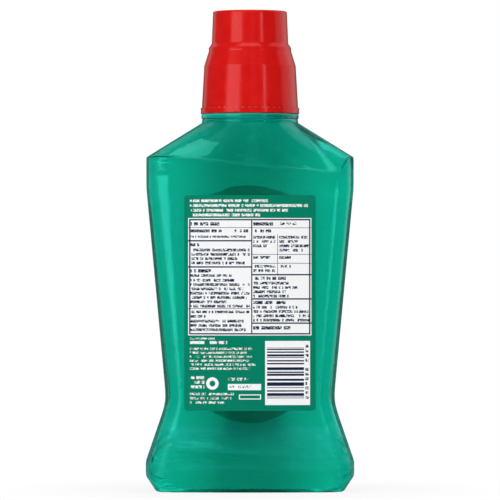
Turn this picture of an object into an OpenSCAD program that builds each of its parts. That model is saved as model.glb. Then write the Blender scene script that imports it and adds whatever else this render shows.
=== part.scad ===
// One-litre mouthwash bottle: a waisted oblong body with a moulded neck, its filling, a dosing
// cap with sealing liner, the shrink band round the cap in two strips, and two film labels.
// Millimetres, +Z up, standing on z = 0 about the neck's axis. The back label faces -Y.

/* [Body] */
// Width across the shoulder edge
body_w = 108.4; // [104:0.2:116]
// Depth across the shoulder edge
body_d = 64.4; // [60:0.2:70]
// Height of the shoulder edge at the sides
shoulder_z = 173.6; // [171:0.2:180]
// Height where the taper of the sides meets the upright belt
belt_z = 157.6; // [150:0.2:162]
// Width of the waist
waist_w = 87.6; // [86:0.2:96]
// Height of the waist
waist_z = 46.4; // [46:0.2:50]
// Wall of the body
wall = 0.8; // [0.5:0.1:1.4]
// How far the sides bow outwards
side_bow = 2.8; // [1.5:0.1:4]
// Bend radius of the front and back faces
face_r = 262; // [180:2:400]
// Size of the rounded upright corners
corner_r = 5.4; // [4:0.1:6]
// Distance over which the kinks of the outline are rounded
kink_r = 1.6; // [0.8:0.1:2.4]

/* [Base] */
// Width of the base band
base_w = 109; // [104:0.2:114]
// Depth of the base band
base_d = 65; // [60:0.2:70]
// Height of the slanting foot chamfer
foot_z = 7.8; // [5:0.2:10]
// Height of the top of the base band at the sides
band_z = 15.2; // [13:0.2:16]
// Width of the foot
foot_w = 98.6; // [94:0.2:102]
// Depth of the foot
foot_d = 55; // [50:0.2:58]
// Share of the foot that its hollow takes
hollow_share = 0.88; // [0.8:0.01:0.92]
// Rise of the hollow in the middle of the foot
push_up = 6; // [3:0.5:10]
// Height of the crease over the base band at mid width
base_crease_z = 20.6; // [20:0.2:24]
// Fall of that crease from mid width to the right side
base_crease_fall = 2.4; // [0:0.2:2.6]

/* [Shoulder lines] */
// Height of the shoulder crease on the faces at mid width
crease_z = 169.3; // [168:0.1:171]
// Fall of the shoulder crease from mid width to the right side
crease_fall = 3.4; // [0:0.2:4]
// Height of the sash line at mid width
sash_z = 162.8; // [162:0.1:164]
// Fall of the sash line from mid width to the right side
sash_fall = 2.6; // [0:0.2:3]
// How far the faces lie in at the sash line from the shoulder edge
sash_in = 1; // [0.2:0.1:2.2]

/* [Labels] */
// Width of both labels
label_w = 67.8; // [60:0.2:69]
// Height of the labels' lower edge
label_z = 42.4; // [42:0.2:44]
// Height of the back label
label_h = 111.2; // [100:0.2:112]
// How far the front label's top edge rises over the back label's at mid width
front_rise = 5.6; // [0:0.2:5.8]
// How far the front label's lower edge dips below the back label's at mid width
front_dip = 8; // [0:0.2:8.4]
// Plain panel over the back label
panel_over = 7.4; // [7.4:0.2:8]
// Plain panel below the back label
panel_under = 10; // [10:0.2:11]
// Thickness of the label film
label_t = 0.14; // [0.08:0.02:0.3]
// How far a label panel's top lies in from the shoulder edge
panel_top_in = 1.4; // [0.4:0.1:3.2]
// How far a label panel's foot lies in from the base band
panel_foot_in = 2.9; // [1.5:0.1:4.5]

/* [Neck] */
// Height at which the shoulder reaches the neck
neck_z = 191.8; // [188:0.2:198]
// Radius of the collar's lower band
collar_r = 25.1; // [24.6:0.1:26]
// Wall of the collar
collar_wall = 1.4; // [1.2:0.1:1.8]
// How far the collar's lower band stands out past the shoulder's end
collar_step = 0.25; // [0.15:0.05:0.35]
// How far the collar's bead stands out past the lower band
bead_out = 0.3; // [0:0.1:0.8]
// Height of the collar
collar_h = 4.5; // [3.6:0.1:6]
// Radius of the neck tube
neck_r = 20.6; // [20:0.1:20.8]
// Wall of the neck tube
neck_wall = 1.8; // [1.2:0.1:2.2]
// Height of the neck tube over the collar
neck_h = 23.7; // [20:0.1:28]

/* [Thread] */
// Number of thread starts
starts = 3; // [2:1:4]
// Rise of the thread in one turn
lead = 9; // [8:0.5:12]
// Height of the neck's thread
thread_out = 1; // [0.6:0.1:1.1]
// Width of a thread bead at its root
thread_root = 1.5; // [1:0.1:1.7]
// Width of a thread bead at its crest
thread_crest = 0.7; // [0.4:0.1:0.8]
// Share of a turn that each bead runs
thread_turns = 0.42; // [0.25:0.01:0.5]
// Height of the lowest bead's start over the collar
thread_lift = 7; // [5:0.5:8]
// Radial clearance of the thread crests
thread_gap = 0.35; // [0.2:0.05:0.5]

/* [Cap] */
// Radius of the skirt at its lower end, outside the band
skirt_foot_r = 25.1; // [24.9:0.1:26]
// Radius of the skirt where the cone starts
skirt_top_r = 23.9; // [23.7:0.1:24.8]
// Radius of the ledge ring over the cone
ledge_r = 21.5; // [21.2:0.1:22]
// Radius of the cup just over the ledge ring
cup_foot_r = 20; // [19.6:0.1:20.6]
// Radius of the cup at its top
cup_top_r = 19.3; // [18.9:0.1:19.6]
// Height of the skirt from the collar to the cone
skirt_h = 24; // [23:0.1:30]
// Height of the cone
cone_h = 7.5; // [5:0.1:10]
// Height of the ledge ring
ledge_h = 2.1; // [1.5:0.1:4]
// Height over which the ledge slopes in to the cup
ledge_fall = 1.7; // [0.8:0.1:2.5]
// Height of the cup over the ledge
cup_h = 17.2; // [12:0.1:26]
// Wall of the cup
cup_wall = 1.4; // [1:0.1:1.6]
// Rounding of the cap's top edge
cap_round = 1; // [0.6:0.1:1.6]
// Volume up to the dosing line in millilitres
dose_ml = 20; // [15:1:22]
// How far the dosing line stands in from the cup's wall
dose_line = 0.3; // [0.2:0.1:0.6]
// Gap between the collar and the skirt's lower end
cap_seat = 0.8; // [0.6:0.1:1.2]
// Thickness of the sealing liner
liner_t = 1.2; // [0.8:0.1:1.6]
// Gap left between the liner and what it seals against
liner_gap = 0.03; // [0.02:0.01:0.1]

/* [Shrink band] */
// Thickness of the band film
band_t = 0.22; // [0.1:0.02:0.3]
// Gap between a film and what it covers
film_gap = 0.03; // [0.02:0.01:0.06]
// How far the band laps over the cap's top
band_lap = 3.6; // [2:0.2:6]
// Height of the lower strip that stays on the neck
strip_h = 2.8; // [2:0.1:4]
// Radius of the lower strip
strip_r = 25.75; // [25.6:0.05:26.4]
// How far the lower strip is tucked in over the collar
strip_tuck = 2.4; // [1.5:0.1:3]
// Width of the torn perforation between the strips
perforation = 0.26; // [0.2:0.02:0.5]

/* [Filling] */
// Height of the liquid's surface over the collar
fill_z = 4; // [0:0.5:12]
// Gap between the liquid and the wall
fill_gap = 0.06; // [0.04:0.02:0.2]

/* [Hidden] */
$fn = 96;
eps = 0.5;                                    // overlap of joined solids
collar_z = neck_z + collar_h;                 // top of the collar
lip_z = collar_z + neck_h;                    // top of the neck
bore_r = neck_r - neck_wall;
shoulder_r = collar_r - collar_step;          // the body's skin where it enters the collar
collar_in_r = collar_r - collar_wall;
shelf_z = collar_z - neck_wall;               // underside of the shelf that carries the neck tube
label_top = label_z + label_h;
panel_z = label_z - panel_under;              // foot of the flat label panels
panel_top = label_top + panel_over;
pitch = lead / starts;
thread_r = neck_r + thread_out;               // crest of the neck's thread
cap_thread_r = neck_r + thread_gap;           // crest of the cap's thread
skirt_in_r = thread_r + thread_gap + eps;     // inside of the skirt
seat_z = lip_z + liner_t + 2 * liner_gap;     // the ledge inside the cap
cone_z = collar_z + skirt_h + cap_seat;
ring_z = cone_z + cone_h;
cup_z = ring_z + ledge_h + ledge_fall;       // foot of the cup
film = band_t + film_gap;                     // how far the cap lies inside the band
cap_top = cup_z + cup_h;                      // top of the cap inside the band
cup_in_r = bore_r - 0.6;                      // mouth of the cup, inside the neck's land
cup_floor_r = cup_top_r - film - cup_wall;
cup_floor_z = cap_top - cup_wall;
dose_z = cup_floor_z - 1000 * dose_ml / (PI * pow((cup_floor_r + cup_in_r) / 2, 2));
columns = 4;                                  // steps of a face from its middle to the label's edge
corner_steps = 4;
side_steps = 2;                               // steps of a side from its corner to its middle
shoulder_steps = 6;
panel_steps = 6;

// Half width and half depth against height
side_table = [[0, foot_w / 2], [foot_z, base_w / 2], [band_z, base_w / 2], [waist_z, waist_w / 2],
              [belt_z, body_w / 2], [shoulder_z, body_w / 2]];
face_table = [[0, foot_d / 2], [foot_z, base_d / 2], [base_crease_z, base_d / 2],
              [panel_z, base_d / 2 - panel_foot_in], [panel_top, body_d / 2 - panel_top_in],
              [sash_z, body_d / 2 - sash_in], [crease_z, body_d / 2]];

// Levels of the body from the foot up: height at the sides, height at mid face, fall to the right
low_levels = [for (z = [0, foot_z / 3, foot_z * 2 / 3, foot_z, (foot_z + band_z) / 2,
                        band_z - kink_r, band_z + kink_r]) [z, z, 0]];
base_crease = [[base_crease_z, base_crease_z, base_crease_fall]];
waist_levels = [for (z = [base_crease_z + base_crease_fall + 2 * kink_r, panel_z - kink_r,
                          panel_z + kink_r, label_z, waist_z - kink_r, waist_z,
                          waist_z + kink_r]) [z, z, 0]];
panel_levels = [for (i = [1:panel_steps]) let (z = waist_z + kink_r
                + (label_top - waist_z - kink_r) * i / panel_steps) [z, z, 0]];
top_levels = [[panel_top - kink_r, panel_top - kink_r, sash_fall],
              [sash_z, sash_z, sash_fall], [shoulder_z, crease_z, crease_fall]];
levels = concat(low_levels, base_crease, waist_levels, panel_levels, top_levels);

function mix(a, b, t) = a + (b - a) * t;
function reversed(list) = [for (i = [len(list) - 1:-1:0]) list[i]];
function eased(z, table) = (lookup(z - kink_r, table) + 2 * lookup(z, table) + lookup(z + kink_r, table)) / 4;
function face_drop(x) = face_r - sqrt(face_r * face_r - x * x);
function bezier(a, c, b, t) = (1 - t) * (1 - t) * a + 2 * t * (1 - t) * c + t * t * b;

// A quarter of the plan outline from mid face to mid side, as x, y and the share of the face's height.
// It is taken inwards by inset.
function quarter(a, b, inset) =
    let (hw = a - inset, hd = b - inset, cx = hw - side_bow, cy = hd - face_drop(cx),
         start = [cx - corner_r, hd - face_drop(cx - corner_r)],
         bow = function (y) hw - side_bow * pow(y / cy, 2),
         end = [bow(cy - corner_r), cy - corner_r])
    concat([for (i = [0:columns]) let (x = label_w / 2 * i / columns) [x, -(hd - face_drop(x)), 1]],
           [for (i = [0:corner_steps]) let (t = i / corner_steps, p = bezier(start, [cx, cy], end, t))
               [p[0], -p[1], 1 - t]],
           [for (i = [1:side_steps]) let (y = end[1] * (1 - i / side_steps)) [bow(y), -y, 0]]);

function outline(a, b, inset) =
    let (q = quarter(a, b, inset), n = len(q) - 1,
         right = concat(q, [for (i = [n - 1:-1:0]) [q[i][0], -q[i][1], q[i][2]]]))
    concat(right, [for (i = [2 * n - 1:-1:1]) [-right[i][0], right[i][1], right[i][2]]]);

// The closed ring of points at one level
function level_ring(level, inset, drop) =
    [for (p = outline(eased(level[0], side_table), eased(level[1], face_table), inset))
        [p[0], p[1], mix(level[0], level[1] - level[2] * p[0] / (label_w / 2), p[2]) - drop]];
function neck_ring(like, r, z) = [for (p = like) let (l = norm([p[0], p[1]])) [p[0] / l * r, p[1] / l * r, z]];
function blend_ring(a, b, t) = [for (i = [0:len(a) - 1]) mix(a[i], b[i], t)];
function foot_ring(ring, share, z) = [for (p = ring) [p[0] * share, p[1] * share, z]];

// How far a skin inside the shoulder lies below it, so that the wall keeps its thickness
function shoulder_drop(inset) = inset * tan(atan2(body_w / 2 - shoulder_r, neck_z - shoulder_z) / 2);

// The rings of the body's skin from the middle of the foot to the neck, taken inwards by inset
function skin(inset, top_z) =
    let (first = level_ring(levels[0], inset, 0),
         n = len(levels) - 1,
         body = [for (i = [0:n]) level_ring(levels[i], inset, i == n ? shoulder_drop(inset)
                                            : levels[i][0] < inset ? -inset : 0)],
         last = body[n],
         neck = neck_ring(last, shoulder_r - inset, neck_z - shoulder_drop(inset)))
    concat([foot_ring(first, 0.4, push_up * 0.9 + inset), foot_ring(first, 0.7, push_up * 0.6 + inset),
            foot_ring(first, hollow_share, inset)],
           body,
           [for (i = [1:shoulder_steps]) blend_ring(last, neck, i / shoulder_steps)],
           [neck_ring(last, shoulder_r - inset, top_z)]);

// A closed solid through the rings in order, with a point at the middle of each end. Each
// four-sided patch is split along its shorter diagonal, so that skins one inside the other agree.
module loft(rings, first_mid, last_mid) {
    n = len(rings[0]);
    m = len(rings);
    points = concat([for (r = rings) each r], [first_mid, last_mid]);
    patch = function (a, b, c, d) norm(points[b] - points[c]) < norm(points[a] - points[d])
        ? [[a, b, c], [c, b, d]] : [[a, b, d], [a, d, c]];
    faces = concat(
        [for (j = [0:m - 2], i = [0:n - 1]) let (k = (i + 1) % n) each
            patch(j * n + i, (j + 1) * n + i, j * n + k, (j + 1) * n + k)],
        [for (i = [0:n - 1]) [i, (i + 1) % n, m * n]],
        [for (i = [0:n - 1]) [(m - 1) * n + (i + 1) % n, (m - 1) * n + i, m * n + 1]]);
    polyhedron(points, faces);
}

// One helical bead on a round wall, with its crest at crest_r and its ends sunk into the wall
module bead(wall_r, crest_r, z, turn) {
    steps = 28;
    run = 360 * thread_turns;
    inward = sign(wall_r - crest_r);
    sunk = wall_r + inward * eps;
    rings = [for (i = [0:steps])
        let (t = i / steps, fade = min(1, 7 * min(t, 1 - t)), a = turn + run * t,
             zc = z + lead * thread_turns * t, crest = mix(wall_r + inward * eps / 2, crest_r, fade),
             section = [[sunk, -thread_root / 2], [crest, -thread_crest / 2],
                        [crest, thread_crest / 2], [sunk, thread_root / 2]])
        [for (p = inward > 0 ? reversed(section) : section) [p[0] * cos(a), p[0] * sin(a), zc + p[1]]]];
    points = [for (r = rings) each r];
    faces = concat(
        [for (j = [0:steps - 1], i = [0:3]) let (k = (i + 1) % 4) each
            [[j * 4 + i, j * 4 + k, (j + 1) * 4 + i], [j * 4 + k, (j + 1) * 4 + k, (j + 1) * 4 + i]]],
        [[0, 3, 2], [0, 2, 1]],
        [[steps * 4, steps * 4 + 1, steps * 4 + 2], [steps * 4, steps * 4 + 2, steps * 4 + 3]]);
    polyhedron(points, faces);
}

module threads(wall_r, crest_r, z) {
    for (i = [0:starts - 1]) bead(wall_r, crest_r, z, 360 * i / starts);
}

module neck() {
    bead_r = collar_r + bead_out;
    groove_r = collar_r - 0.25;
    rotate_extrude() polygon([
        [collar_in_r, neck_z], [collar_r, neck_z], [collar_r, neck_z + 1], [groove_r, neck_z + 1.3],
        [groove_r, neck_z + 1.6], [bead_r, neck_z + 2.2], [bead_r, collar_z - 0.6],
        [bead_r - 0.5, collar_z], [neck_r, collar_z], [neck_r, lip_z - 0.6], [neck_r - 0.4, lip_z],
        [bore_r + 0.3, lip_z], [bore_r, lip_z - 0.3], [bore_r, shelf_z], [bore_r + 0.8, shelf_z - 0.8],
        [collar_in_r - 0.8, shelf_z - 0.8], [collar_in_r, shelf_z - 1.6]]);
    threads(neck_r, thread_r, collar_z + thread_lift);
}

module bottle() color([0.1, 0.62, 0.53, 0.55]) {
    joint_z = neck_z + 0.8;
    loft(concat(skin(0, joint_z), reversed(skin(wall, joint_z))), [0, 0, push_up], [0, 0, push_up + wall]);
    neck();
}

module mouthwash() color([0, 0.5, 0.4]) {
    inset = wall + fill_gap;
    top_z = neck_z - fill_gap;
    loft(skin(inset, top_z), [0, 0, push_up + inset], [0, 0, top_z]);
    translate([0, 0, neck_z - eps]) cylinder(r = collar_in_r - fill_gap, h = shelf_z - neck_z + eps - 1.6);
    translate([0, 0, neck_z]) cylinder(r = bore_r - fill_gap, h = collar_h + fill_z);
}

// A film on the face that looks towards side (-1 back, 1 front). At mid width its top edge rises
// by rise and its lower edge dips by dip.
module label(side, rise, dip) {
    half_d = function (z) eased(z, face_table);
    xs = [for (i = [-columns:columns]) label_w / 2 * i / columns];
    n = len(xs);
    at = function (x, z, lift) [x, side * (half_d(z) - face_drop(x) + lift), z];
    arch = function (x) 1 - pow(2 * x / label_w, 2);
    points = [for (lift = [film_gap, film_gap + label_t], row = [0, 1], x = xs)
        at(x, row == 0 ? label_z - dip * arch(x) : label_top + rise * arch(x), lift)];
    skin_faces = [for (i = [0:n - 2]) each [
        [i, i + 1, n + i], [i + 1, n + i + 1, n + i],
        [2 * n + i, 3 * n + i, 2 * n + i + 1], [2 * n + i + 1, 3 * n + i, 3 * n + i + 1],
        [i, 2 * n + i, i + 1], [i + 1, 2 * n + i, 2 * n + i + 1],
        [n + i, n + i + 1, 3 * n + i], [n + i + 1, 3 * n + i + 1, 3 * n + i]]];
    ends = [[0, n, 2 * n], [2 * n, n, 3 * n],
            [n - 1, 3 * n - 1, 2 * n - 1], [3 * n - 1, 4 * n - 1, 2 * n - 1]];
    faces = concat(skin_faces, ends);
    polyhedron(points, side < 0 ? [for (f = faces) reversed(f)] : faces);
}

module back_label() color([0.04, 0.47, 0.36]) label(-1, 0, 0);

module front_label() color([0.04, 0.47, 0.36]) label(1, front_rise, front_dip);

module tamper_ring() color([0.85, 0.1, 0.1])
    rotate_extrude() translate([0, collar_z + film_gap]) polygon([
        [strip_r - strip_tuck, 0], [strip_r, 0], [strip_r, strip_h],
        [strip_r - band_t, strip_h], [strip_r - band_t, band_t], [strip_r - strip_tuck, band_t]]);

module cap_liner() color([0.95, 0.95, 0.93])
    translate([0, 0, lip_z + liner_gap]) difference() {
        cylinder(r = skirt_in_r - eps, h = liner_t);
        translate([0, 0, -1]) cylinder(r = bore_r - 0.4, h = liner_t + 2);
    }

// The outside of the cap from the skirt's lower end to the top, taken inwards by inset
function cap_outline(inset) = [
    [skirt_foot_r - inset, collar_z + strip_h], [skirt_top_r - inset, cone_z], [ledge_r - inset, ring_z],
    [ledge_r - inset, ring_z + ledge_h], [cup_foot_r - inset, cup_z], [cup_top_r - inset, cap_top - cap_round],
    [cup_top_r - inset - 0.3 * cap_round, cap_top - 0.3 * cap_round],
    [cup_top_r - inset - cap_round, cap_top]];

// The solid section of the cap's outside, with its skirt drawn down to the collar
module cap_section(inset) polygon(concat(
    [[0, collar_z], [skirt_foot_r - inset, collar_z]], cap_outline(inset), [[0, cap_top]]));

module cap() color([0.9, 0.9, 0.9]) {
    rotate_extrude() polygon(concat(
        [[skirt_in_r + 0.8, collar_z + cap_seat], [skirt_foot_r - film, collar_z + cap_seat]],
        cap_outline(film),
        [[0, cap_top], [0, cup_floor_z], [cup_floor_r - 1, cup_floor_z], [cup_floor_r, cup_floor_z - 1],
         [cup_in_r, dose_z + dose_line], [cup_in_r - dose_line, dose_z], [cup_in_r, dose_z - dose_line],
         [cup_in_r, seat_z], [skirt_in_r, seat_z], [skirt_in_r, collar_z + cap_seat + 1.4]]));
    threads(skirt_in_r, cap_thread_r, collar_z + thread_lift + pitch / 2);
}

module cap_sleeve() color([0.9, 0.12, 0.1]) {
    foot = collar_z + film_gap + strip_h + perforation;
    rotate_extrude() difference() {
        translate([0, film]) cap_section(0);
        translate([0, film_gap]) cap_section(band_t);
        square([skirt_foot_r + 1, foot]);
        square([cup_top_r - band_lap, cap_top + 2]);
    }
}

bottle();
mouthwash();
back_label();
front_label();
tamper_ring();
cap_liner();
cap();
cap_sleeve();
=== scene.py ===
"""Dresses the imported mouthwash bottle: clear body, filling, shrink band, film labels, soft studio light."""
import math

import bmesh
import bpy
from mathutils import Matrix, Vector


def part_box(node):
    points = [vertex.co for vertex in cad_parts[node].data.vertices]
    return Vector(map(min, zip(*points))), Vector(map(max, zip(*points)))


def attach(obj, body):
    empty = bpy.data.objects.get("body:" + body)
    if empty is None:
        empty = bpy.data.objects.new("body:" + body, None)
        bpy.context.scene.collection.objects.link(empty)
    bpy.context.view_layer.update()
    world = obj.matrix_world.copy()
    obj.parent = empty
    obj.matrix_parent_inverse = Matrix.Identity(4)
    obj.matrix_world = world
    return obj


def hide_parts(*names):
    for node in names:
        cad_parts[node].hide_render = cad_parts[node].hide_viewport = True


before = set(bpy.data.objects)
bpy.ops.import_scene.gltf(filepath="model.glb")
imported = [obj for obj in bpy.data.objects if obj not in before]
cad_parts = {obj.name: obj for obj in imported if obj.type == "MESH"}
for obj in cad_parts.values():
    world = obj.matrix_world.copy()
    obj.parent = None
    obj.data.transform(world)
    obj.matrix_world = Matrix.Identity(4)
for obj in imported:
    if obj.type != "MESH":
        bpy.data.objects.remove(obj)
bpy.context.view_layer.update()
bpy.ops.object.select_all(action="DESELECT")

MM = 0.001

# Camera and stage
CAMERA_DISTANCE = 2.5
CAMERA_HEIGHT = 0.1253
FRAME_WIDTH = 0.261
SENSOR = 36
FLOOR_R = 0.32
BACK_SHARE = 0.14
# What reflections see round the stage: turn from the camera in degrees, minus to the left, and brightness
ROUND_WALL = [(-180, 0.14), (-147, 0.5), (-134, 0.5), (-130, 0.12), (-66, 0.1), (-61, 0.95), (-42, 0.7),
              (-8, 0.12), (1, 0.1), (3, 0.4), (13, 0.35), (15, 0.1), (27, 0.1), (29, 0.35), (39, 0.3),
              (41, 0.06), (82, 0.06), (89, 0.9), (128, 1), (150, 0.5), (180, 0.14)]
BACK_TINT = (0.22, 0.92, 0.82, 1)
FLOOR_TINT = (0.06, 0.42, 0.34, 1)
WORLD_LIGHT = 0.5
GLOW_NEAR, GLOW_FAR, GLOW_LEAST = 50, 150, 0.86
# Lamps: name, place in metres, width, height and power
LAMPS = [("left_box", (-0.85, -1.0, 0.35), 0.8, 0.9, 5.6),
         ("front_box", (0.1, -1.3, 0.95), 1.1, 0.3, 2.5),
         ("right_strip", (0.82, -1.13, 0.3), 0.14, 0.9, 1.4),
         ("over_box", (0, -0.3, 1.3), 0.8, 0.6, 3),
         ("rear_box", (0.3, 1.3, 0.8), 1.0, 0.6, 2.6)]
UNMIRRORED = ("front_box", "rear_box")
AIM = Vector((0, 0, 0.13))

# Clear pieces: bending of light, tint of reflections, and how strongly colours are absorbed on a metre
PET_IOR, LIQUID_IOR = 1.5, 1.34
CLEAR_SHINE = (0.1, 0.8, 0.68, 1)
PET_DENSITY, PET_PASSES = 800, (0, 0.983, 0.979, 1)
LIQUID_DENSITY, LIQUID_PASSES = 66, (0, 0.818, 0.722, 1)
PET_WAVES, THICK_WAVES = 0.3, 9.0
CREASE_R, CREASE_LIFT = 1.1, 0.9

# Colours of the finishes
# Painted shade on the clear plastic: over mid width, and deeper in a patch low on the body below the labels
MID_PAINTED_SHADE, LOW_PAINTED_SHADE = (0.7, 0.75, 0.74, 1), (0.52, 0.58, 0.58, 1)
# Painted highlight: a glow on the collar, strongest at its left
COLLAR_PAINTED_HIGHLIGHT = (0.01, 0.13, 0.1, 1)
PRINT_GREENS = (0.0005, 0.19, 0.108, 1), (0.0015, 0.222, 0.13, 1)
PRINT_WHITES = (0.94, 0.945, 0.96, 1), (0.98, 0.98, 0.99, 1)
NAVY = (0.012, 0.01, 0.06, 1)
PRINT_SHINE = (0.1, 0.6, 0.5, 1)
# Painted glow of the films' glued side, standing in for light that comes through them
FILM_PAINTED_GLOWS = (0.001, 0.3, 0.21, 1), (0.001, 0.5, 0.37, 1)
FRONT_GREENS = (0.002, 0.11, 0.065, 1), (0.006, 0.33, 0.2, 1)
STRIPE_RED, BAND_GREEN, PLATE_WHITE = (0.7, 0.01, 0.008, 1), (0.08, 0.62, 0.42, 1), (0.86, 0.88, 0.87, 1)
FILM_REDS, SEAM_RED = ((0.6, 0.005, 0.004, 1), (0.74, 0.008, 0.006, 1)), (0.46, 0.003, 0.003, 1)
CAP_WHITES = (0.76, 0.76, 0.75, 1), (0.84, 0.84, 0.83, 1)
FOAM_WHITES = (0.7, 0.7, 0.67, 1), (0.84, 0.84, 0.81, 1)
FLOOR_WHITE = (0.93, 0.93, 0.93, 1)
WHITE, BLACK = (1, 1, 1, 1), (0, 0, 0, 1)

# Driving sizes of the body, in millimetres, as the frame has them
BASE_W, BASE_D = [(high - low) / MM for low, high in list(zip(*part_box("bottle")))[:2]]
BODY_W, BODY_D = 108.4, 64.4
WAIST_W = 87.6
FOOT_W, FOOT_D = 98.6, 55.0
FOOT_Z, BAND_Z, WAIST_Z, BELT_Z, SHOULDER_Z = 7.8, 15.2, 46.4, 157.6, 173.6
SIDE_BOW = 2.8
FACE_R = 262.0
CORNER_R = 5.4
# How far the kinks in the body's outline are rounded, and the one at the waist
KINK_R, WAIST_R = 0.5, 5.0
BASE_CREASE_Z, BASE_CREASE_FALL = 20.6, 2.4
CREASE_Z, CREASE_FALL = 169.3, 3.4
SASH_Z, SASH_FALL, SASH_IN = 162.8, 2.6, 1.0
WALL = 0.8
FILL_LAP = 0.05

# Labels
LABEL_W, LABEL_Z, LABEL_TOP = 67.8, 42.4, 153.6
PANEL_Z, PANEL_TOP = 32.4, 161.0
PANEL_TOP_IN, PANEL_FOOT_IN = 1.4, 2.9
FRONT_W, FRONT_RISE, FRONT_DIP = 58.0, 5.6, 8.0
ARCH_RISE, ARCH_DIP = 11.0, 15.0
FILM_GAP, FILM_T = 0.05, 0.08
LABEL_ROUND = 1.6
TABLE_L, TABLE_R, TABLE_Z, TABLE_TOP = -31.9, 31.7, 81.2, 141.8
MIDDLE, RULE, HAIR = 0.9, 0.72, 0.28
TEXT_H, TEXT_PITCH = 1.42, 2.23
BARS_A_MM, BAR_GAPS = 2.7, 0.45

# Neck
NECK_Z, COLLAR_Z, LIP_Z = 191.8, 196.3, 220.0
COLLAR_R, NECK_R, BORE_R = 25.1, 20.6, 18.8
SHOULDER_R = 24.85
COLLAR_IN_R = 23.7
SHELF_Z = COLLAR_Z - 1.8
FILL_TOP = COLLAR_Z + 4

COLLAR_BEAD_R = COLLAR_R + 0.3
GROOVE_R = COLLAR_R - 0.25
THREAD_OUT, THREAD_ROOT, THREAD_CREST, THREAD_SUNK = 1.0, 1.5, 0.7, 0.15
LEAD, THREAD_TURNS, THREAD_STARTS, THREAD_LIFT = 9.0, 0.42, 3, 7.0
THREAD_STEPS, THREAD_FADE = 42, 6
TURN_STEPS = 192

# Cap, liner and shrink band
SKIRT_FOOT_R, SKIRT_TOP_R, LEDGE_R, CUP_FOOT_R, CUP_TOP_R = 24.85, 23.65, 21.25, 19.75, 19.05
SKIRT_IN_R, CAP_THREAD_R, CUP_IN_R, CUP_FLOOR_R = 22.45, 20.95, 18.2, 17.65
CAP_FOOT_Z, CONE_Z, RING_Z, LEDGE_H, CUP_Z, CAP_TOP = 197.1, 221.1, 228.6, 2.1, 232.4, 249.6
SEAT_Z, CUP_FLOOR_Z, DOSE_Z, DOSE_LINE = 221.26, 248.2, 228.39, 0.3
LINER_R, LINER_IN_R, LINER_Z, LINER_T = 21.95, 18.4, 220.03, 1.2
BAND_T, BAND_GAP, BAND_LAP = 0.22, 0.03, 3.6
BAND_FILM = BAND_T + BAND_GAP
SLEEVE_FOOT_R, SLEEVE_TOP_R = SKIRT_FOOT_R + BAND_FILM, SKIRT_TOP_R + BAND_FILM
SLEEVE_LEDGE_R = LEDGE_R + BAND_FILM
SLEEVE_CUP_R, SLEEVE_RIM_R = CUP_FOOT_R + BAND_FILM, CUP_TOP_R + BAND_FILM
SLEEVE_Z, BAND_TOP = 199.39, CAP_TOP + BAND_FILM
SLEEVE_CONE_Z, SLEEVE_RING_Z, SLEEVE_CUP_Z = CONE_Z + BAND_FILM, RING_Z + BAND_FILM, CUP_Z + BAND_FILM
STRIP_R, STRIP_TUCK, STRIP_Z, STRIP_H = 25.75, 2.4, 196.33, 2.8
SEAM_W = 4.4
NIB_EVERY, NIB_WIDTH, NIB_H = 4, 3, 0.2

SIDE_TABLE = [(0, FOOT_W / 2), (FOOT_Z, BASE_W / 2), (BAND_Z, BASE_W / 2), (WAIST_Z, WAIST_W / 2),
              (BELT_Z, BODY_W / 2), (SHOULDER_Z, BODY_W / 2)]
FACE_TABLE = [(0, FOOT_D / 2), (FOOT_Z, BASE_D / 2), (BASE_CREASE_Z, BASE_D / 2),
              (PANEL_Z, BASE_D / 2 - PANEL_FOOT_IN), (PANEL_TOP, BODY_D / 2 - PANEL_TOP_IN),
              (SASH_Z, BODY_D / 2 - SASH_IN), (CREASE_Z, BODY_D / 2)]

# Rings of the body: height at the sides, height at mid face, fall to the right, sharpness
UPRIGHT_RINGS = [2.6, 5.8, 7.2, 8.4, 11.5, 14.5, 15.9, 25.5, 29.6, 31.6, 34, 38, 42.4, 46.4, 50.4,
                 55, 62, 75, 90, 105, 120, 135, 146, 153.6]
SLANTED_RINGS = [(BASE_CREASE_Z, BASE_CREASE_Z, BASE_CREASE_FALL, 0.75), (157, 158.2, SASH_FALL, 0),
                 (160.4, 160.4, SASH_FALL, 0), (SASH_Z, SASH_Z, SASH_FALL, 0.6),
                 (168, 166.6, CREASE_FALL, 0), (SHOULDER_Z, CREASE_Z, CREASE_FALL, 0.85)]
FOOT_RING = (0, 0, 0, 0.7)
RINGS = sorted([(z, z, 0, 0) for z in UPRIGHT_RINGS] + SLANTED_RINGS + [FOOT_RING])
FACE_COLUMNS = [8.5, 17.0, 25.4, LABEL_W / 2, 40.1]
SIDE_ROWS = [9.5]
CORNER_STEPS = 4
# Steps of the hollow foot: share that each is drawn in by, and its rise
FOOT_STEPS = [(0.9, 0.02), (0.96, 0.4), (0.84, 1.7), (0.6, 1.1), (0.45, 0.3)]
SHOULDER_CUTS = 5


def mix(a, b, t):
    return a + (b - a) * t


def lookup(z, table):
    """Straight-line value of a height table."""
    if z <= table[0][0]:
        return table[0][1]
    for (z0, v0), (z1, v1) in zip(table, table[1:]):
        if z <= z1:
            return mix(v0, v1, (z - z0) / (z1 - z0))
    return table[-1][1]


def near(a, b, slack=0.02):
    return abs(a - b) < slack


def eased(z, table):
    """Value of a height table with its kinks rounded, most of all at the waist."""
    reach = WAIST_R if near(z, WAIST_Z, WAIST_R) else KINK_R
    return (lookup(z - reach, table) + 2 * lookup(z, table) + lookup(z + reach, table)) / 4


def face_drop(x):
    """How far the bowed face lies back at x from mid width."""
    return FACE_R - math.sqrt(FACE_R * FACE_R - x * x)


# Modelling helpers
def open_up(piece):
    """Opens one piece for modelling."""
    bpy.ops.object.select_all(action="DESELECT")
    piece.select_set(True)
    bpy.context.view_layer.objects.active = piece
    bpy.ops.object.mode_set(mode="EDIT")
    return piece


def close_up():
    bpy.ops.object.mode_set(mode="OBJECT")


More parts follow.
